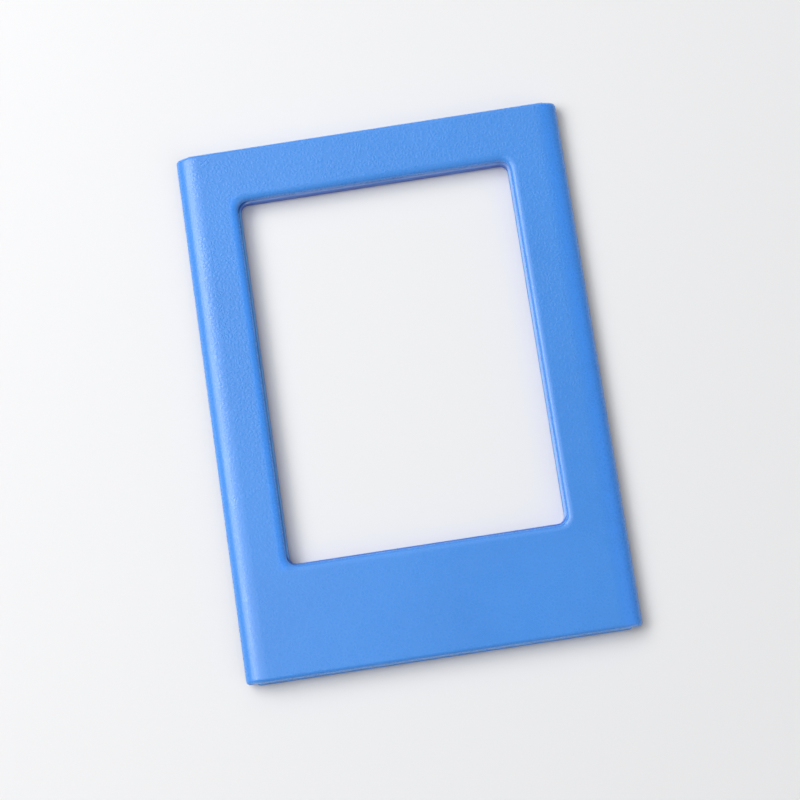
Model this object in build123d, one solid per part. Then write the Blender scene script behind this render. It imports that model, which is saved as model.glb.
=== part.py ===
from build123d import *
import os

# Magnetic frame for one credit-card-size instant print, lying on its back with the face up.
# +X is to the right of the face, +Y to its top and +Z out of it. The origin is the centre of the back.
# The rear frame carries the print and clings to steel, and the front frame lifts off it.
# All sizes are in millimetres.

# The print that is kept between the two frames, and the white margins round its picture
print_width = 54.0
print_height = 86.0
print_corner_radius = 1.5
print_side_margin = 4.0
print_top_margin = 7.4
print_bottom_margin = 16.6
print_play = 0.3

# Rear frame: a plate with a recess for the print and a window a little larger than the picture
rear_floor = 1.75
print_recess = 0.35
side_border = 3.9
end_border = 2.2
window_reveal = 0.15
rear_window_corner = 1.35
rear_plan_corner = 0.6
rear_edge_chamfer = 0.3
rear_edge_round = 0.2
ledge_round = 0.2

# Front frame: a slab with a wider window, and a skirt down each long side of the rear frame
front_slab = 1.3
nest_gap = 0.2
skirt_wall = 1.6
skirt_land = 0.2
end_ledge = 0.3
window_ledge = 0.35

# Rounds of the front frame, each a quarter ellipse, or a plain fillet at the two cut ends
side_round_width = 4.0
side_round_depth = 2.2
window_round_width = 1.2
window_round_depth = 0.7
end_round = 0.7

# Disc magnets, one pair at each corner, glued into pockets
magnet_diameter = 6.0
magnet_thickness = 0.8
magnet_chamfer = 0.12
magnet_side_gap = 0.1
magnet_recess = 0.05
magnet_side_inset = 7.2

# Locating pegs on the rear frame's side borders, in sockets under the front frame
peg_diameter = 1.8
peg_height = 0.6
peg_gap = 0.2
peg_spacing = 50.0

# How far a cutter runs past the faces that it cuts, and how level an edge has to be
overcut = 0.5
level_tolerance = 0.001

# Planes, lengths and places that follow from the sizes above
seat_z = rear_floor + print_recess
face_z = seat_z + front_slab
recess_width = print_width + 2 * print_play
recess_height = print_height + 2 * print_play
rear_width = recess_width + 2 * side_border
rear_height = recess_height + 2 * end_border
rear_window_width = print_width - 2 * print_side_margin + 2 * window_reveal
rear_window_height = print_height - print_top_margin - print_bottom_margin + 2 * window_reveal
window_y = (print_bottom_margin - print_top_margin) / 2
channel_width = rear_width + 2 * nest_gap
front_width = channel_width + 2 * skirt_wall
front_height = rear_height - 2 * end_ledge
front_window_width = rear_window_width + 2 * window_ledge
front_window_height = rear_window_height + 2 * window_ledge
front_window_corner = rear_window_corner + window_ledge
top_bar = (front_height - front_window_height) / 2 - window_y
pocket_radius = magnet_diameter / 2 + magnet_side_gap
magnet_x = front_width / 2 - magnet_side_inset
magnet_y = (front_height - top_bar) / 2
border_x = (recess_width + rear_width) / 4
corners = {
    "top_left": (-magnet_x, magnet_y),
    "top_right": (magnet_x, magnet_y),
    "bottom_left": (-magnet_x, -magnet_y),
    "bottom_right": (magnet_x, -magnet_y),
}
peg_places = [(x, y) for x in (-border_x, border_x) for y in (-peg_spacing / 2, peg_spacing / 2)]


def plate(width, height, corner_radius, low, high, y=0.0):
    """A flat plate with rounded plan corners, centred on (0, y), from height low to height high."""
    outline = Pos(0, y, low) * RectangleRounded(width, height, corner_radius)
    return extrude(outline, amount=high - low)


def disc(place, radius, low, high):
    """An upright round disc at a plan place, from height low to height high."""
    return extrude(Pos(place[0], place[1], low) * Circle(radius), amount=high - low)


def edges_at(shape, height):
    """The edges of a shape that lie level at one height."""
    return shape.edges().filter_by_position(Axis.Z, height - level_tolerance, height + level_tolerance)


def front_section():
    """The front frame's section across its long sides: flat face, rounded shoulders, skirts and channel."""
    half = front_width / 2
    channel = channel_width / 2
    shoulder_x = half - side_round_width
    shoulder_z = face_z - side_round_depth
    foot_z = shoulder_z - skirt_land
    face = Line((-shoulder_x, face_z), (shoulder_x, face_z))
    right = EllipticalCenterArc((shoulder_x, shoulder_z), side_round_width, side_round_depth, 0, arc_size=90)
    left = EllipticalCenterArc((-shoulder_x, shoulder_z), side_round_width, side_round_depth, 90, arc_size=90)
    under = Polyline(
        (half, shoulder_z),
        (half, foot_z),
        (channel, foot_z),
        (channel, seat_z),
        (-channel, seat_z),
        (-channel, foot_z),
        (-half, foot_z),
        (-half, shoulder_z),
    )
    return Plane.XZ * make_face(face + right + under + left)


def window_round_cutter():
    """The ring that rounds the window's front edge: the corner outside a quarter ellipse, swept round it."""
    rim = Pos(0, window_y, face_z) * RectangleRounded(front_window_width, front_window_height, front_window_corner)
    path = rim.face().outer_wire()
    along = path % 0
    outward = along.cross(Vector(0, 0, 1))
    section_plane = Plane(origin=path @ 0, x_dir=outward, z_dir=-along)
    width = window_round_width
    depth = window_round_depth
    curve = EllipticalCenterArc((width, -depth), width, depth, 90, arc_size=90)
    rest = Polyline((0, -depth), (-overcut, -depth), (-overcut, overcut), (width, overcut), (width, 0))
    return sweep(section_plane * make_face(curve + rest), path=path)


def make_front_frame():
    """The face: a slab with rounded long sides and skirts, bored for the window, magnets and pegs."""
    frame = extrude(front_section(), amount=front_height / 2, both=True)
    end_edges = [e for f in frame.faces().filter_by(Axis.Y) for e in f.edges()]
    side_x = front_width / 2 - level_tolerance
    outer_edges = [e for e in end_edges if e.center().Z > seat_z + level_tolerance or abs(e.center().X) > side_x]
    frame = fillet(outer_edges, end_round)
    frame -= plate(front_window_width, front_window_height, front_window_corner, 0, face_z + overcut, window_y)
    frame -= window_round_cutter()
    for place in corners.values():
        frame -= disc(place, pocket_radius, seat_z, seat_z + magnet_recess + magnet_thickness)
    for place in peg_places:
        frame -= disc(place, peg_diameter / 2 + peg_gap, seat_z, seat_z + peg_height + peg_gap)
    return frame


def make_rear_frame():
    """The back: a windowed plate with a recess for the print, magnet pockets behind and pegs in front."""
    frame = plate(rear_width, rear_height, rear_plan_corner, 0, seat_z)
    frame = fillet(edges_at(frame, seat_z), rear_edge_round)
    frame -= plate(recess_width, recess_height, print_corner_radius, rear_floor, seat_z + overcut)
    frame -= plate(rear_window_width, rear_window_height, rear_window_corner, -overcut, seat_z, window_y)
    frame = chamfer(edges_at(frame, 0), rear_edge_chamfer)
    ledge_edges = [e for e in edges_at(frame, rear_floor) if abs(e.center().X) < front_window_width / 2]
    rim = [e for e in ledge_edges if abs(e.center().Y - window_y) < front_window_height / 2]
    frame = fillet(rim, ledge_round)
    for place in corners.values():
        frame -= disc(place, pocket_radius, 0, magnet_recess + magnet_thickness)
    for place in peg_places:
        frame += disc(place, peg_diameter / 2, seat_z, seat_z + peg_height)
    return frame


def make_magnet(place, low):
    """A plated disc magnet with broken edges, standing on height low."""
    magnet = disc(place, magnet_diameter / 2, low, low + magnet_thickness)
    return chamfer(magnet.edges(), magnet_chamfer)


os.makedirs("parts", exist_ok=True)
export_step(make_front_frame(), "parts/front_frame.step")
export_step(make_rear_frame(), "parts/rear_frame.step")
for corner, place in corners.items():
    export_step(make_magnet(place, seat_z + magnet_recess), f"parts/front_magnet_{corner}.step")
    export_step(make_magnet(place, magnet_recess), f"parts/rear_magnet_{corner}.step")
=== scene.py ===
import bmesh
import bpy
import math
import numpy as np
from mathutils import Matrix, Vector


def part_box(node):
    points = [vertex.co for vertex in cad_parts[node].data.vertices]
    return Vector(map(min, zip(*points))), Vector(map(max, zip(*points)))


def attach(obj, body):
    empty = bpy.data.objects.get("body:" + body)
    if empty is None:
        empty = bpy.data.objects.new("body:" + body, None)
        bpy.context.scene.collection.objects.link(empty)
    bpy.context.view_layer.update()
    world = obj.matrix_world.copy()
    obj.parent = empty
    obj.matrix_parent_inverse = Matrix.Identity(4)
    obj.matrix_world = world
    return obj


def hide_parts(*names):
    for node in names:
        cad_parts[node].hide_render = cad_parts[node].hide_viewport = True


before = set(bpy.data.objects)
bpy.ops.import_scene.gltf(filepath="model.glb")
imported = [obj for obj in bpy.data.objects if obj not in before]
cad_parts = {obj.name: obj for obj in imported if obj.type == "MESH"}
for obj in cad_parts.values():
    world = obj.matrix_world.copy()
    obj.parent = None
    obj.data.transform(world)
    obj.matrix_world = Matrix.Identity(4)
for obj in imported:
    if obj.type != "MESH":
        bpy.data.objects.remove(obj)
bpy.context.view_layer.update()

# Rear frame: the plate that the print lies in, and that clings to the steel behind it.
# It is one injection moulding in satin blue plastic, with the fine matt of a spark-eroded tool.
# Its window, print recess and outside are rounded rectangles, so its skin is a stack of such rings.
mm = 0.001
rear_half_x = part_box("rear_frame")[1].x
rear_half_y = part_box("rear_frame")[1].y
rear_plan_corner = 0.6 * mm
rear_floor = 1.75 * mm
seat = 2.1 * mm
window_y = 4.6 * mm
rear_window_half_x = 23.15 * mm
rear_window_half_y = 31.15 * mm
rear_window_corner = 1.35 * mm
recess_half_x = 27.3 * mm
recess_half_y = 43.3 * mm
recess_corner = 1.5 * mm
back_chamfer = 0.3 * mm
edge_round = 0.2 * mm
recess_break = 0.08 * mm
edge_turn = np.linspace(0, np.pi / 2, 5)
corner_turn = np.linspace(0, np.pi / 2, 9)
even_share = np.linspace(0, 1, 16, endpoint=False)


def loops(half_x, half_y, corner, long_share, end_share):
    """Rectangles with arc corners as points (loop, point, xy), one loop for each set of sizes.
    A quarter runs up the right side, round the corner arc and along the top to its middle, with points
    at the given shares of each straight run. It is mirrored to the left, and the upper half downwards."""
    columns = [np.atleast_1d(size)[:, None] for size in (half_x, half_y, corner)]
    half_x, half_y, corner = np.broadcast_arrays(*columns)
    flat_x = half_x - corner
    flat_y = half_y - corner
    right = np.broadcast_arrays(half_x, flat_y * long_share)
    bend = (flat_x + corner * np.cos(corner_turn), flat_y + corner * np.sin(corner_turn))
    top = np.broadcast_arrays(flat_x * end_share[::-1], half_y)
    quarter = np.concatenate([np.stack(run, axis=-1) for run in (right, bend, top)], axis=1)
    upper = np.concatenate([quarter, quarter[:, -2::-1] * (-1, 1)], axis=1)
    return np.concatenate([upper, upper[:, -2:0:-1] * (1, -1)], axis=1)


def grown_rings(
    half_x, half_y, corner, centre_y, offsets, heights, long_share=even_share, end_share=even_share
):
    """Level rings (ring, point, xyz): a rounded rectangle grown by each offset and set at each height."""
    offsets = np.asarray(offsets)
    plan = loops(half_x + offsets, half_y + offsets, corner + offsets, long_share, end_share)
    level = np.broadcast_to(np.asarray(heights)[:, None, None], plan.shape[:2] + (1,))
    return np.concatenate([plan + (0, centre_y), level], axis=-1)


def skin(name, shells, closed):
    """An object whose faces join each point to the next on its ring and to its like on the next ring.
    The array is (shell, ring, point, xyz), and a closed shell also joins its last ring to its first.
    Points that coincide are welded, and every face is turned outwards."""
    count, rings, around = shells.shape[:3]
    grid = np.arange(count * rings * around).reshape(count, rings, around)
    if closed:
        grid = np.concatenate([grid, grid[:, :1]], axis=1)
    ahead = np.roll(grid, -1, axis=2)
    quads = np.stack([grid[:, :-1], ahead[:, :-1], ahead[:, 1:], grid[:, 1:]], axis=-1)
    mesh = bpy.data.meshes.new(name)
    mesh.from_pydata(shells.reshape(-1, 3).tolist(), [], quads.reshape(-1, 4).tolist())
    work = bmesh.new()
    work.from_mesh(mesh)
    weld_reach = 0.001 * mm
    bmesh.ops.remove_doubles(work, verts=work.verts, dist=weld_reach)
    bmesh.ops.dissolve_degenerate(work, edges=work.edges, dist=weld_reach)
    bmesh.ops.recalc_face_normals(work, faces=work.faces)
    work.to_mesh(mesh)
    work.free()
    piece = bpy.data.objects.new(name, mesh)
    bpy.context.collection.objects.link(piece)
    return piece


def turned(radii, heights, places, steps=64):
    """Shells turned about an upright axis at each plan place: one circle for each radius and height."""
    angle = np.linspace(0, 2 * np.pi, steps, endpoint=False)
    circle = np.stack([np.cos(angle), np.sin(angle)], axis=-1)
    plan = np.asarray(places)[:, None, None] + np.asarray(radii)[:, None, None] * circle
    level = np.broadcast_to(np.asarray(heights)[:, None, None], plan.shape[:3] + (1,))
    return np.concatenate([plan, level], axis=-1)


def fit_tool(piece, shells, operation):
    """Cuts closed shells out of a piece, or joins them to it, and leaves only the finished mesh."""
    tool = skin(piece.name + "_tool", shells, closed=False)
    change = piece.modifiers.new(tool.name, "BOOLEAN")
    change.object = tool
    change.operation = operation
    change.solver = "EXACT"
    finished = piece.evaluated_get(bpy.context.evaluated_depsgraph_get())
    rough_mesh = piece.data
    piece.data = bpy.data.meshes.new_from_object(finished)
    piece.data.name = piece.name
    piece.modifiers.clear()
    bpy.data.objects.remove(tool)
    bpy.data.meshes.remove(rough_mesh)


def shade(piece, material):
    """Smooth shading that breaks at the real edges, and the piece's one material."""
    crease_angle = math.radians(32)
    piece.data.shade_smooth()
    piece.data.set_sharp_from_angle(angle=crease_angle)
    piece.data.materials.clear()
    piece.data.materials.append(material)


rear_window = (rear_window_half_x, rear_window_half_y, rear_window_corner, window_y)
recess = (recess_half_x, recess_half_y, recess_corner, 0.0)
rear_outside = (rear_half_x, rear_half_y, rear_plan_corner, 0.0)
rise_out = 1 - np.cos(edge_turn)
rise_up = 1 - np.sin(edge_turn)
rear_rings = np.concatenate([
    grown_rings(*rear_window, [0.0], [back_chamfer]),
    grown_rings(*rear_window, edge_round * rise_out, rear_floor - edge_round * rise_up),
    grown_rings(*recess, [0.0], [rear_floor]),
    grown_rings(*recess, recess_break * rise_out, seat - recess_break * rise_up),
    grown_rings(*rear_outside, -edge_round * rise_up, seat - edge_round * rise_out),
    grown_rings(*rear_outside, [0.0, -back_chamfer], [back_chamfer, 0.0]),
    grown_rings(*rear_window, [back_chamfer], [0.0]),
])
rear_moulding = skin("rear_moulding", rear_rings[None], closed=True)

# Each corner has a round pocket in the back for a magnet, with a broken edge at its mouth,
# and each side border has two small pegs that find the front frame's sockets.
pocket_radius = 3.1 * mm
pocket_depth = 0.85 * mm
pocket_break = 0.12 * mm
cutter_run_out = 0.3 * mm
rear_magnets = [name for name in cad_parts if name.startswith("rear_magnet")]
rear_places = [(sum(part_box(name), Vector()) / 2)[:2] for name in rear_magnets]
mouth_radius = pocket_radius + pocket_break + cutter_run_out
pocket_radii = [0.0, mouth_radius, pocket_radius, pocket_radius, 0.0]
pocket_heights = [-cutter_run_out, -cutter_run_out, pocket_break, pocket_depth, pocket_depth]
fit_tool(rear_moulding, turned(pocket_radii, pocket_heights, rear_places), "DIFFERENCE")

peg_radius = 0.9 * mm
peg_height = 0.6 * mm
peg_lead = 0.15 * mm
peg_root = 0.3 * mm
peg_x = (recess_half_x + rear_half_x) / 2
peg_y = 25.0 * mm
peg_places = [(x, y) for x in (-peg_x, peg_x) for y in (-peg_y, peg_y)]
peg_radii = [0.0, peg_radius, peg_radius, peg_radius - peg_lead, 0.0]
peg_top = seat + peg_height
peg_heights = [seat - peg_root, seat - peg_root, peg_top - peg_lead, peg_top, peg_top]
fit_tool(rear_moulding, turned(peg_radii, peg_heights, peg_places, steps=32), "UNION")


def add_node(tree, kind, **sockets):
    """A shader node whose named inputs, with underscores for spaces, get a value or an output."""
    made = tree.nodes.new(kind)
    for name, value in sockets.items():
        socket = made.inputs[name.replace("_", " ")]
        if isinstance(value, bpy.types.NodeSocket):
            tree.links.new(value, socket)
        else:
            socket.default_value = value
    return made


def reckon(tree, operation, *terms):
    """A maths node on up to three terms, each a number or an output."""
    made = tree.nodes.new("ShaderNodeMath")
    made.operation = operation
    for socket, term in zip(made.inputs, terms):
        if isinstance(term, bpy.types.NodeSocket):
            tree.links.new(term, socket)
        else:
            socket.default_value = term
    return made.outputs[0]


def spread(tree, value, low, high, new_low, new_high):
    """A smooth change of range: low to high of the value becomes new_low to new_high."""
    ends = {"From_Min": low, "From_Max": high, "To_Min": new_low, "To_Max": new_high}
    made = add_node(tree, "ShaderNodeMapRange", Value=value, **ends)
    made.interpolation_type = "SMOOTHSTEP"
    return made.outputs["Result"]


def tint(tree, share, under, over):
    """A colour that goes from under to over by a share from 0 to 1."""
    made = tree.nodes.new("ShaderNodeMix")
    made.data_type = "RGBA"
    colour_inputs = [socket for socket in made.inputs if socket.type == "RGBA"]
    tree.links.new(share, made.inputs["Factor"])
    for socket, colour in zip(colour_inputs, (under, over)):
        if isinstance(colour, bpy.types.NodeSocket):
            tree.links.new(colour, socket)
        else:
            socket.default_value = colour
    return [socket for socket in made.outputs if socket.type == "RGBA"][0]


def new_group(name, inputs, outputs):
    """A shader node group with named value inputs, a Place vector, and named value outputs."""
    tree = bpy.data.node_groups.new(name, "ShaderNodeTree")
    tree.interface.new_socket("Place", in_out="INPUT", socket_type="NodeSocketVector")
    for label in inputs:
        tree.interface.new_socket(label, in_out="INPUT", socket_type="NodeSocketFloat")
    for label in outputs:
        tree.interface.new_socket(label, in_out="OUTPUT", socket_type="NodeSocketFloat")
    return tree, tree.nodes.new("NodeGroupInput").outputs, tree.nodes.new("NodeGroupOutput").inputs


# Moulded grain: small pillows with soft creases between them, as etched into a tool to look like leather.
# The pillows come from the distance to the edges of random cells, on a place that is pushed about a little.
# The ratios say how many times finer than the cells the push and the pores are.
drift_ratio = 0.4
pore_ratio = 3.5
pore_height = 0.35
pillow_edge = 0.32
grain_group, grain_in, grain_out = new_group("moulded_grain", ["Cells", "Wander"], ["Height", "Crease"])
drift_scale = reckon(grain_group, "MULTIPLY", grain_in["Cells"], drift_ratio)
drift = add_node(grain_group, "ShaderNodeTexNoise", Vector=grain_in["Place"], Scale=drift_scale, Detail=2.0)
centred = grain_group.nodes.new("ShaderNodeVectorMath")
centred.operation = "SUBTRACT"
grain_group.links.new(drift.outputs["Color"], centred.inputs[0])
centred.inputs[1].default_value = (0.5, 0.5, 0.5)
pushed = grain_group.nodes.new("ShaderNodeVectorMath")
pushed.operation = "MULTIPLY_ADD"
grain_group.links.new(centred.outputs["Vector"], pushed.inputs[0])
grain_group.links.new(grain_in["Wander"], pushed.inputs[1])
grain_group.links.new(grain_in["Place"], pushed.inputs[2])
cell_place = pushed.outputs["Vector"]
cell_edges = add_node(grain_group, "ShaderNodeTexVoronoi", Vector=cell_place, Scale=grain_in["Cells"])
cell_edges.feature = "DISTANCE_TO_EDGE"
pillow = spread(grain_group, cell_edges.outputs["Distance"], 0.0, pillow_edge, 0.0, 1.0)
pore_scale = reckon(grain_group, "MULTIPLY", grain_in["Cells"], pore_ratio)
pores = add_node(grain_group, "ShaderNodeTexNoise", Vector=grain_in["Place"], Scale=pore_scale, Detail=2.0)
height = reckon(grain_group, "MULTIPLY_ADD", pores.outputs["Fac"], pore_height, pillow)
grain_group.links.new(height, grain_out["Height"])
grain_group.links.new(reckon(grain_group, "SUBTRACT", 1.0, pillow), grain_out["Crease"])

# Handling: broad unevenness of tone, faint smears that change the gloss, and a few specks of dust.
# A speck lies at the middle of some of the random cells, and its size is a share of the cell.
speck_rarity = 0.86
speck_core = 0.008
speck_rim = 0.02
handling_group, handling_in, handling_out = new_group("handling", [], ["Tone", "Smear", "Dust"])
broad = add_node(handling_group, "ShaderNodeTexNoise", Vector=handling_in["Place"], Scale=45.0, Detail=3.0)
smear = add_node(handling_group, "ShaderNodeTexNoise", Vector=handling_in["Place"], Scale=130.0, Detail=4.0)
smear.inputs["Distortion"].default_value = 1.2
smear_share = spread(handling_group, smear.outputs["Fac"], 0.42, 0.66, 0.0, 1.0)
specks = add_node(handling_group, "ShaderNodeTexVoronoi", Vector=handling_in["Place"], Scale=160.0)
speck_pick = add_node(handling_group, "ShaderNodeSeparateColor", Color=specks.outputs["Color"])
chosen = reckon(handling_group, "GREATER_THAN", speck_pick.outputs["Red"], speck_rarity)
near_speck = spread(handling_group, specks.outputs["Distance"], speck_core, speck_rim, 1.0, 0.0)
handling_group.links.new(broad.outputs["Fac"], handling_out["Tone"])
handling_group.links.new(smear_share, handling_out["Smear"])
handling_group.links.new(reckon(handling_group, "MULTIPLY", chosen, near_speck), handling_out["Dust"])

# Edge nearness: how near a point is to a level line round a rounded rectangle, from 1 on it to 0 at its
# reach.
# The plan distance is that of a rounded rectangle, from the point's distance past its straight runs.
nearness_inputs = ["Half X", "Half Y", "Corner", "Centre X", "Centre Y", "Level", "Reach"]
nearness_group, nearness_in, nearness_out = new_group("edge_nearness", nearness_inputs, ["Wear"])
nearness_place = add_node(nearness_group, "ShaderNodeSeparateXYZ", Vector=nearness_in["Place"]).outputs
along_x = reckon(nearness_group, "SUBTRACT", nearness_place["X"], nearness_in["Centre X"])
along_y = reckon(nearness_group, "SUBTRACT", nearness_place["Y"], nearness_in["Centre Y"])
past_x = reckon(nearness_group, "SUBTRACT", reckon(nearness_group, "ABSOLUTE", along_x), nearness_in["Half X"])
past_y = reckon(nearness_group, "SUBTRACT", reckon(nearness_group, "ABSOLUTE", along_y), nearness_in["Half Y"])
corner_x = reckon(nearness_group, "ADD", past_x, nearness_in["Corner"])
corner_y = reckon(nearness_group, "ADD", past_y, nearness_in["Corner"])
beyond_x = reckon(nearness_group, "MAXIMUM", corner_x, 0.0)
beyond_y = reckon(nearness_group, "MAXIMUM", corner_y, 0.0)
beyond_y_squared = reckon(nearness_group, "MULTIPLY", beyond_y, beyond_y)
beyond_squared = reckon(nearness_group, "MULTIPLY_ADD", beyond_x, beyond_x, beyond_y_squared)
beyond = reckon(nearness_group, "SQRT", beyond_squared)
within = reckon(nearness_group, "MINIMUM", reckon(nearness_group, "MAXIMUM", corner_x, corner_y), 0.0)
aside = reckon(nearness_group, "SUBTRACT", reckon(nearness_group, "ADD", beyond, within), nearness_in["Corner"])
above = reckon(nearness_group, "SUBTRACT", nearness_place["Z"], nearness_in["Level"])
above_squared = reckon(nearness_group, "MULTIPLY", above, above)
apart_squared = reckon(nearness_group, "MULTIPLY_ADD", aside, aside, above_squared)
apart = reckon(nearness_group, "SQRT", apart_squared)
nearness_group.links.new(spread(nearness_group, apart, 0.0, nearness_in["Reach"], 1.0, 0.0), nearness_out["Wear"])


def edge_nearness(tree, place, line):
    """The nearness to one line, from 1 on the line to 0 at its reach."""
    worn = tree.nodes.new("ShaderNodeGroup")
    worn.node_tree = nearness_group
    tree.links.new(place, worn.inputs["Place"])
    for label, value in zip(nearness_inputs, line):
        worn.inputs[label].default_value = value
    return worn.outputs["Wear"]


def blue_plastic(
    name, light_blue, deep_blue, dust_colour, cells, grain_depth, roughness, painted_light_and_shade_edges, held_edges
):
    """Satin moulded plastic: two near blues by random tone and by the grain's creases, another colour along
    each edge line, dust specks, and a grain of a real depth. The deeper blue in the creases is painted
    shade.
    An edge tint is its colour and the values of its line; the tints are painted light and painted shade
    along edges, one partly a paler own colour. Along each held edge, where fingers take the piece, the
    grain is rubbed down."""
    plastic_ior = 1.58
    tone_share = 0.35
    crease_shade_share = 0.3
    dust_cover = 0.5
    smear_polish = -0.05
    crease_matt = 0.06
    dust_matt = 0.3
    tint_in_smears = 0.75
    grain_left_by_fingers = 0.2
    material = bpy.data.materials.new(name)
    material.use_nodes = True
    tree = material.node_tree
    shader = tree.nodes["Principled BSDF"]
    shader.inputs["IOR"].default_value = plastic_ior
    place = tree.nodes.new("ShaderNodeTexCoord").outputs["Object"]
    grain = add_node(tree, "ShaderNodeGroup")
    grain.node_tree = grain_group
    tree.links.new(place, grain.inputs["Place"])
    grain.inputs["Cells"].default_value = cells
    grain.inputs["Wander"].default_value = 0.5 / cells
    handling = add_node(tree, "ShaderNodeGroup")
    handling.node_tree = handling_group
    tree.links.new(place, handling.inputs["Place"])
    toned = spread(tree, handling.outputs["Tone"], 0.3, 0.7, 0.0, tone_share)
    # Painted shade: the grain's creases take the deeper blue.
    depth = reckon(tree, "MULTIPLY_ADD", grain.outputs["Crease"], crease_shade_share, toned)
    blue = tint(tree, depth, light_blue, deep_blue)
    uneven = spread(tree, handling.outputs["Smear"], 0.0, 1.0, 1.0, tint_in_smears)
    # Edge tints: painted light and painted shade along lines, one of them partly the ledge's own paler
    # colour.
    for edge_colour, line in painted_light_and_shade_edges:
        edge_share = reckon(tree, "MULTIPLY", edge_nearness(tree, place, line), uneven)
        blue = tint(tree, edge_share, blue, edge_colour)
    dust_share = reckon(tree, "MULTIPLY", handling.outputs["Dust"], dust_cover)
    tree.links.new(tint(tree, dust_share, blue, dust_colour), shader.inputs["Base Color"])
    smeared = reckon(tree, "MULTIPLY_ADD", handling.outputs["Smear"], smear_polish, roughness)
    creased = reckon(tree, "MULTIPLY_ADD", grain.outputs["Crease"], crease_matt, smeared)
    dusted = reckon(tree, "MULTIPLY_ADD", handling.outputs["Dust"], dust_matt, creased)
    tree.links.new(dusted, shader.inputs["Roughness"])
    grain_height = grain.outputs["Height"]
    for line in held_edges:
        held = edge_nearness(tree, place, line)
        grain_left = spread(tree, held, 0.0, 1.0, 1.0, grain_left_by_fingers)
        grain_height = reckon(tree, "MULTIPLY", grain_height, grain_left)
    bump = add_node(tree, "ShaderNodeBump", Height=grain_height, Strength=1.0, Distance=grain_depth)
    tree.links.new(bump.outputs["Normal"], shader.inputs["Normal"])
    return material


def edge_line(half_x, half_y, corner, centre_y, grow, level, reach, aside=0.0, upward=0.0):
    """The values of an edge line: a rounded rectangle grown a little, at one level, with its reach.
    A line that is only at the right and top has its left and bottom drawn in, by twice aside and
    twice upward."""
    half_x = half_x + grow - aside
    half_y = half_y + grow - upward
    return half_x, half_y, corner + grow, aside, centre_y + upward, level, reach


# Painted light and shade along the rear frame's edges. The window ledge is paler at the right and top,
# partly its own paler colour and partly painted light where light falls on it; its long sides get a
# brighter, purer blue of painted light that lifts their shade. The outer top edge gets a pale line of
# painted light, and the upright walls get darker blues of painted shade, deepest low down.
# Pale blue of painted light, for lines along the front frame's lower edges.
painted_light_line_blue = (0.26, 0.50, 0.93, 1.0)
ledge_blue = (0.40, 0.56, 0.97, 1.0)
painted_ledge_fill_blue = (0.15, 0.52, 1.0, 1.0)
painted_rim_light_blue = (0.38, 0.66, 1.0, 1.0)
painted_wall_shade_blue = (0.025, 0.075, 0.45, 1.0)
painted_foot_shade_blue = (0.032, 0.095, 0.36, 1.0)
drawn_in = 0.4 * mm
rear_window_sides = (rear_window_half_x, rear_window_half_y - 2 * drawn_in, rear_window_corner, window_y)
pale_lit_ledge = edge_line(
    *rear_window, grow=0.32 * mm, level=rear_floor, reach=0.36 * mm, aside=drawn_in, upward=drawn_in
)
rear_blue = blue_plastic(
    "rear_satin_blue",
    light_blue=(0.056, 0.285, 0.80, 1.0),
    deep_blue=(0.045, 0.235, 0.69, 1.0),
    dust_colour=(0.72, 0.74, 0.78, 1.0),
    cells=3600.0,
    grain_depth=0.006 * mm,
    roughness=0.36,
    painted_light_and_shade_edges=[
        # Painted shade: a dark navy on the window's upright walls.
        (painted_wall_shade_blue, edge_line(*rear_window, grow=0.0, level=0.9 * mm, reach=1.5 * mm)),
        # Painted shade: a darker blue on the outer upright walls, towards the foot.
        (painted_foot_shade_blue, edge_line(*rear_outside, grow=0.0, level=1.1 * mm, reach=1.3 * mm)),
        # Painted light: a brighter, purer blue on the ledge's long sides, seen at the left, that lifts its
        # shade.
        (painted_ledge_fill_blue, edge_line(*rear_window_sides, grow=0.2 * mm, level=rear_floor, reach=0.45 * mm)),
        # Partly the ledge's own paler colour and partly painted light, at the right and top.
        (ledge_blue, pale_lit_ledge),
        # Painted light: a pale line along the rear frame's outer top edge.
        (painted_rim_light_blue, edge_line(*rear_outside, grow=-0.28 * mm, level=seat, reach=0.22 * mm)),
    ],
    held_edges=[edge_line(*rear_outside, grow=0.0, level=seat / 2, reach=1.5 * mm)],
)
shade(rear_moulding, rear_blue)
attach(rear_moulding, "rear")
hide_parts("rear_frame")

# Disc magnets: sintered metal, ground to a plain disc and nickel plated, glued into their pockets.
# The four in the rear frame lie just below its back, and the four above them are in the front frame.
nickel_light = (0.68, 0.66, 0.62, 1.0)
nickel_dull = (0.61, 0.59, 0.55, 1.0)
nickel = bpy.data.materials.new("bright_nickel")
nickel.use_nodes = True
nickel_tree = nickel.node_tree
nickel_shader = nickel_tree.nodes["Principled BSDF"]
nickel_shader.inputs["Metallic"].default_value = 1.0
nickel_place = nickel_tree.nodes.new("ShaderNodeTexCoord").outputs["Object"]
tumbling = add_node(nickel_tree, "ShaderNodeTexNoise", Vector=nickel_place, Scale=900.0, Detail=4.0)
brushed = add_node(nickel_tree, "ShaderNodeMapping", Vector=nickel_place)
brushed.inputs["Rotation"].default_value = (0.0, 0.0, 0.6)
brushed.inputs["Scale"].default_value = (1.0, 22.0, 1.0)
brushed_place = brushed.outputs["Vector"]
scratches = add_node(nickel_tree, "ShaderNodeTexNoise", Vector=brushed_place, Scale=420.0, Detail=3.0)
dulled = spread(nickel_tree, tumbling.outputs["Fac"], 0.35, 0.7, 0.0, 1.0)
nickel_colour = tint(nickel_tree, dulled, nickel_light, nickel_dull)
nickel_tree.links.new(nickel_colour, nickel_shader.inputs["Base Color"])
nickel_roughness = spread(nickel_tree, scratches.outputs["Fac"], 0.35, 0.7, 0.16, 0.34)
nickel_tree.links.new(nickel_roughness, nickel_shader.inputs["Roughness"])
scratch_depth = 0.001 * mm
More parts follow.
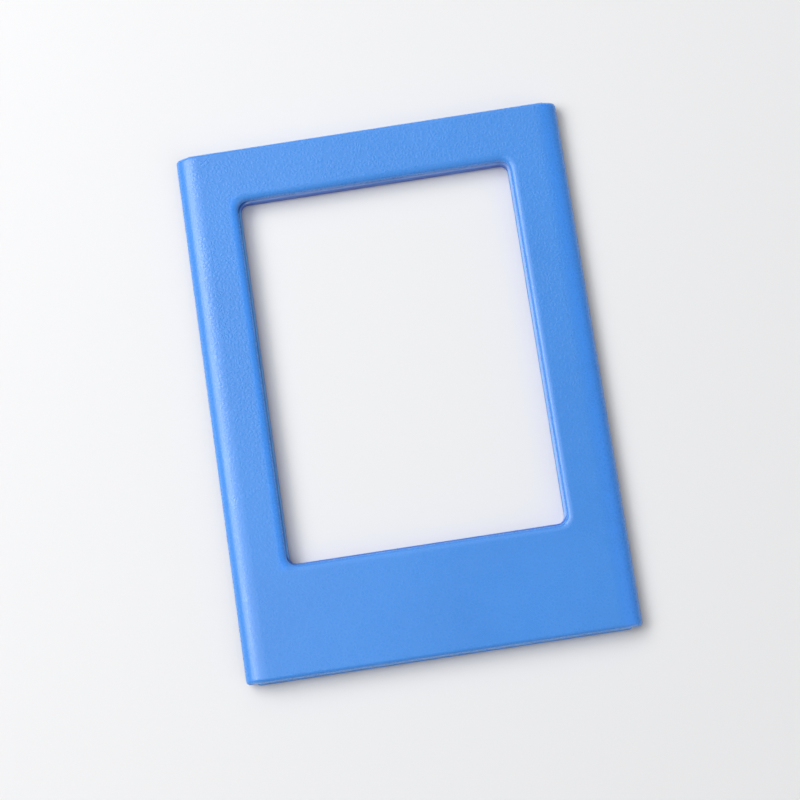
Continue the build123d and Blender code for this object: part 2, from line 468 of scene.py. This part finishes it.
nickel_bump = add_node(nickel_tree, "ShaderNodeBump", Height=scratches.outputs["Fac"], Strength=1.0)
nickel_bump.inputs["Distance"].default_value = scratch_depth
nickel_tree.links.new(nickel_bump.outputs["Normal"], nickel_shader.inputs["Normal"])

magnet_edge = 0.12 * mm
magnet_in = magnet_edge * rise_up
magnet_up = magnet_edge * rise_out
front_magnets = [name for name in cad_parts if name.startswith("front_magnet")]
for body, names in (("rear", rear_magnets), ("front", front_magnets)):
    for name in names:
        low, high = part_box(name)
        middle = ((low + high) / 2)[:2]
        radius = (high.x - low.x) / 2
        rim_radii = radius - np.concatenate([magnet_in, magnet_in[::-1]])
        rim_heights = np.concatenate([low.z + magnet_up, high.z - magnet_up[::-1]])
        disc_radii = np.concatenate([[0.0], rim_radii, [0.0]])
        disc_heights = np.concatenate([[low.z], rim_heights, [high.z]])
        magnet = skin(name + "_disc", turned(disc_radii, disc_heights, [middle]), closed=False)
        shade(magnet, nickel)
        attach(magnet, body)
        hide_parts(name)

# Front frame: the blue face that lifts off, one moulding with a window and a skirt down each long side.
# Its long sides round over in a wide quarter ellipse, its two ends are cut square with a small round,
# and the window's edge is rolled in. Etched grain gives it the look of fine leather.
front_low, front_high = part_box("front_frame")
front_half_x = front_high.x
front_half_y = front_high.y
face = front_high.z
foot = front_low.z
channel_half_x = 31.4 * mm
side_round_width = 4.0 * mm
side_round_depth = 2.2 * mm
end_round = 0.7 * mm
front_window_half_x = 23.5 * mm
front_window_half_y = 31.5 * mm
front_window_corner = 1.7 * mm
window_round_width = 1.2 * mm
window_round_depth = 0.7 * mm
crisp_gap = 0.08 * mm
shoulder_x = front_half_x - side_round_width
shoulder_run = 4.6 * mm
foot_run = shoulder_x + shoulder_run + (face - side_round_depth - foot)
straight_y = front_half_y - end_round


def front_face(run, y):
    """The outer skin at a distance run across the face from its middle line, and y along the frame.
    Across, it is level to the shoulder, follows a quarter ellipse in even steps of its angle, and drops
    straight to the skirt's foot. Near an end it moves in along its own normal, as a round of one radius."""
    beyond = np.abs(run) - shoulder_x
    turn = np.clip(beyond / shoulder_run, 0, 1) * np.pi / 2
    drop = np.clip(beyond - shoulder_run, 0, None)
    x = np.minimum(np.abs(run), shoulder_x) + side_round_width * np.sin(turn)
    z = face - side_round_depth * (1 - np.cos(turn)) - drop
    lean_x = np.sin(turn) / side_round_width
    lean_z = np.cos(turn) / side_round_depth
    lean = np.hypot(lean_x, lean_z)
    past = np.clip(np.abs(y) - straight_y, 0, end_round)
    inset = end_round - np.sqrt(end_round**2 - past**2)
    return np.stack([np.sign(run) * (x - inset * lean_x / lean), y, z - inset * lean_z / lean], axis=-1)


end_turn = np.linspace(0, np.pi / 2, 9)
long_share = np.concatenate([
    np.linspace(0, straight_y, 25)[:-1],
    straight_y + end_round * np.sin(end_turn[:-1]),
]) / front_half_y
end_share = np.concatenate([
    np.linspace(0, shoulder_x, 21)[:-1],
    np.linspace(shoulder_x, foot_run, 27)[:-1],
]) / foot_run
shares = (long_share, end_share)
front_window = (front_window_half_x, front_window_half_y, front_window_corner, window_y)
roll_turn = np.linspace(0, np.pi / 2, 15)
throat = grown_rings(*front_window, [0.0], [seat], *shares)
roll = grown_rings(
    *front_window,
    window_round_width * (1 - np.cos(roll_turn)),
    face - window_round_depth * (1 - np.sin(roll_turn)),
    *shares,
)
rim = grown_rings(*front_window, [window_round_width + crisp_gap], [face], *shares)
level_edge = loops(shoulder_x - crisp_gap, straight_y - crisp_gap, 0.0, *shares)
level_edge = front_face(level_edge[..., 0], level_edge[..., 1])
across = np.linspace(0, 1, 6)[1:-1, None, None]
level = rim + across * (level_edge - rim)
over = np.linspace(0, 1, 28)
over_run = shoulder_x + over * (foot_run - shoulder_x)
over_y = straight_y + end_round * np.sin(over * np.pi / 2)
outside = loops(over_run, over_y, 0.0, *shares)
outside = front_face(outside[..., 0], outside[..., 1])

# Under the skirts the skin turns in to the channel, whose two ends are open. At an end the channel's edge
# climbs from the skirt's foot to the seat, and one step further in the whole loop lies on the seat.
under_step = 1.0 * mm
plan = loops(foot_run, 1.0, 0.0, *shares)[0]
channel_x = np.sign(plan[:, 0]) * channel_half_x * np.minimum(np.abs(plan[:, 0]) / shoulder_x, 1)
climb = np.clip((foot_run - np.abs(plan[:, 0])) / (foot_run - shoulder_x), 0, 1)
channel_mouth = np.stack([channel_x, plan[:, 1] * front_half_y, foot + climb * (seat - foot)], axis=-1)
seat_y = plan[:, 1] * (front_half_y - under_step)
channel_seat = np.stack([channel_x, seat_y, np.full_like(channel_x, seat)], axis=-1)
channel = np.stack([channel_mouth, channel_seat])
front_rings = np.concatenate([throat, roll, rim, level, level_edge, outside, channel])
front_moulding = skin("front_moulding", front_rings[None], closed=True)

# Its seat has a pocket for each front magnet, and a socket for each peg of the rear frame.
socket_radius = 1.1 * mm
socket_depth = 0.8 * mm
front_places = [(sum(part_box(name), Vector()) / 2)[:2] for name in front_magnets]
front_pocket_heights = seat + np.array(pocket_heights)
fit_tool(front_moulding, turned(pocket_radii, front_pocket_heights, front_places), "DIFFERENCE")
socket_radii = [0.0, socket_radius, socket_radius, 0.0]
socket_heights = [seat - cutter_run_out, seat - cutter_run_out, seat + socket_depth, seat + socket_depth]
fit_tool(front_moulding, turned(socket_radii, socket_heights, peg_places, steps=32), "DIFFERENCE")


def straight_line(x, y, half_x, half_y, level, reach):
    """The values of a straight edge line: its middle, half its length in x or y, its level and reach."""
    return half_x, half_y, 0.0, x, y, level, reach


# The grain is rubbed down on the window's roll, along the long sides, and most of all on the lower bar
# towards the right, where a thumb lifts the front off. The ends of front_sides lie far past the frame.
front_outside = (front_half_x, front_half_y, 0.0, 0.0)
front_sides = (front_half_x, 2 * front_half_y, 0.0, 0.0)
held_sides = edge_line(*front_sides, grow=0.0, level=(face + foot) / 2, reach=4.5 * mm)
thumb_half_x = 20.0 * mm
thumb_x = front_half_x - thumb_half_x
thumb_edge = straight_line(thumb_x, -front_half_y, thumb_half_x, 0.0, face, reach=75.0 * mm)
roll_middle = window_round_width / 2
roll_level = face - window_round_depth / 2
roll_reach = 1.3 * mm
window_roll = edge_line(*front_window, grow=roll_middle, level=roll_level, reach=roll_reach)

# The outer right round and the window's left roll, which face away from the key light, are painted a
# brighter, purer blue: painted light that lifts their shade.
painted_slope_fill_blue = (0.058, 0.312, 0.985, 1.0)
left_roll_x = -front_window_half_x - roll_middle
left_roll = straight_line(left_roll_x, window_y, 0.0, front_window_half_y, roll_level, roll_reach)
right_x = front_half_x - 1.7 * mm
right_level = face - 0.4 * mm
right_round = straight_line(right_x, 0.0, 0.0, front_half_y, right_level, reach=2.5 * mm)
front_blue = blue_plastic(
    "front_satin_blue",
    light_blue=(0.068, 0.305, 0.855, 1.0),
    deep_blue=(0.056, 0.255, 0.745, 1.0),
    dust_colour=(0.72, 0.74, 0.78, 1.0),
    cells=1500.0,
    grain_depth=0.021 * mm,
    roughness=0.265,
    painted_light_and_shade_edges=[
        (painted_slope_fill_blue, left_roll),
        (painted_slope_fill_blue, right_round),
        # Painted shade: a darker blue at the skirts' foot.
        (painted_foot_shade_blue, edge_line(*front_outside, grow=0.0, level=foot, reach=0.7 * mm)),
        # Painted light: a paler line along the window's lower edge at the seat, all round but the left,
        # lifting the slot's shade.
        (painted_light_line_blue, edge_line(*front_window, grow=0.0, level=seat, reach=0.4 * mm, aside=drawn_in)),
        # Painted light: a paler line round the outside at the foot of the end round.
        (painted_light_line_blue, edge_line(*front_outside, grow=0.0, level=face - end_round, reach=0.5 * mm)),
    ],
    held_edges=[held_sides, thumb_edge, window_roll],
)
shade(front_moulding, front_blue)
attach(front_moulding, "front")
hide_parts("front_frame")

# Floor: a plain pale sheet that the frame lies on and throws its shadow on.
# It is a hair below the frame's back, so that the two faces don't coincide.
floor_half = 3.0
floor_z = -0.02 * mm
floor_mesh = bpy.data.meshes.new("floor")
floor_plan = [(-1, -1), (1, -1), (1, 1), (-1, 1)]
floor_corners = [(x * floor_half, y * floor_half, floor_z) for x, y in floor_plan]
floor_mesh.from_pydata(floor_corners, [], [(0, 1, 2, 3)])
floor = bpy.data.objects.new("floor", floor_mesh)
bpy.context.collection.objects.link(floor)
floor_paint = bpy.data.materials.new("pale_floor")
floor_paint.use_nodes = True
floor_shader = floor_paint.node_tree.nodes["Principled BSDF"]
floor_shader.inputs["Base Color"].default_value = (0.862, 0.864, 0.872, 1.0)
floor_shader.inputs["Roughness"].default_value = 0.7
floor_mesh.materials.append(floor_paint)

# Soft studio light: a long softbox on the left, a wide panel almost overhead, weaker ones beyond the top
# end and at the lower right, and an even pale room. Distances and sizes are in metres, power in watts.
scene = bpy.context.scene
scene.view_settings.view_transform = "Standard"
room = bpy.data.worlds.new("room")
room.use_nodes = True
room_light = room.node_tree.nodes["Background"]
room_light.inputs["Color"].default_value = (0.98, 0.985, 1.0, 1.0)
room_light.inputs["Strength"].default_value = 0.19
scene.world = room


def softbox(name, bearing, lean, distance, width, height, power):
    """A soft rectangular lamp that faces the frame, at a bearing round it and a lean from the upright.
    The bearing goes anticlockwise from the right of the face, and both angles are in degrees."""
    lamp = bpy.data.lights.new(name, "AREA")
    lamp.shape = "RECTANGLE"
    lamp.size = width
    lamp.size_y = height
    lamp.energy = power
    holder = bpy.data.objects.new(name, lamp)
    bearing = math.radians(bearing)
    lean = math.radians(lean)
    way = Vector((math.sin(lean) * math.cos(bearing), math.sin(lean) * math.sin(bearing), math.cos(lean)))
    holder.location = way * distance
    holder.rotation_euler = way.to_track_quat("Z", "Y").to_euler()
    bpy.context.collection.objects.link(holder)


softbox("key_softbox", bearing=153, lean=47.3, distance=0.8, width=0.85, height=0.36, power=4.9)
softbox("overhead_panel", bearing=165, lean=26, distance=1.2, width=0.9, height=0.87, power=3.9)
softbox("far_panel", bearing=90, lean=45, distance=1.2, width=0.9, height=0.85, power=2.0)
softbox("fill_wall", bearing=-40, lean=55, distance=1.2, width=1.2, height=1.2, power=3.0)

# Camera: almost straight above the face, a little towards its bottom, with the frame turned in view.
# The picture is taken to be 800 pixels square, and the lens is given by its focal length in those pixels.
picture_pixels = 800
focal_pixels = 1900
camera_tilt = math.radians(-9.301)
camera_lean = math.radians(-0.602)
camera_roll = math.radians(8.603)
camera_shift = Vector((0.722, 1.776, -321.371)) * mm
lens = bpy.data.cameras.new("camera")
lens.sensor_width = 36.0
lens.lens = lens.sensor_width * focal_pixels / picture_pixels
lens.clip_start = 0.01
lens.clip_end = 20.0
camera = bpy.data.objects.new("camera", lens)
rolled = Matrix.Rotation(camera_roll, 4, "Z")
tilted = Matrix.Rotation(camera_tilt, 4, "X")
leaned = Matrix.Rotation(camera_lean, 4, "Y")
turn_to_camera = rolled @ tilted @ leaned
camera.matrix_world = (Matrix.Translation(camera_shift) @ turn_to_camera).inverted()
bpy.context.collection.objects.link(camera)
scene.camera = camera
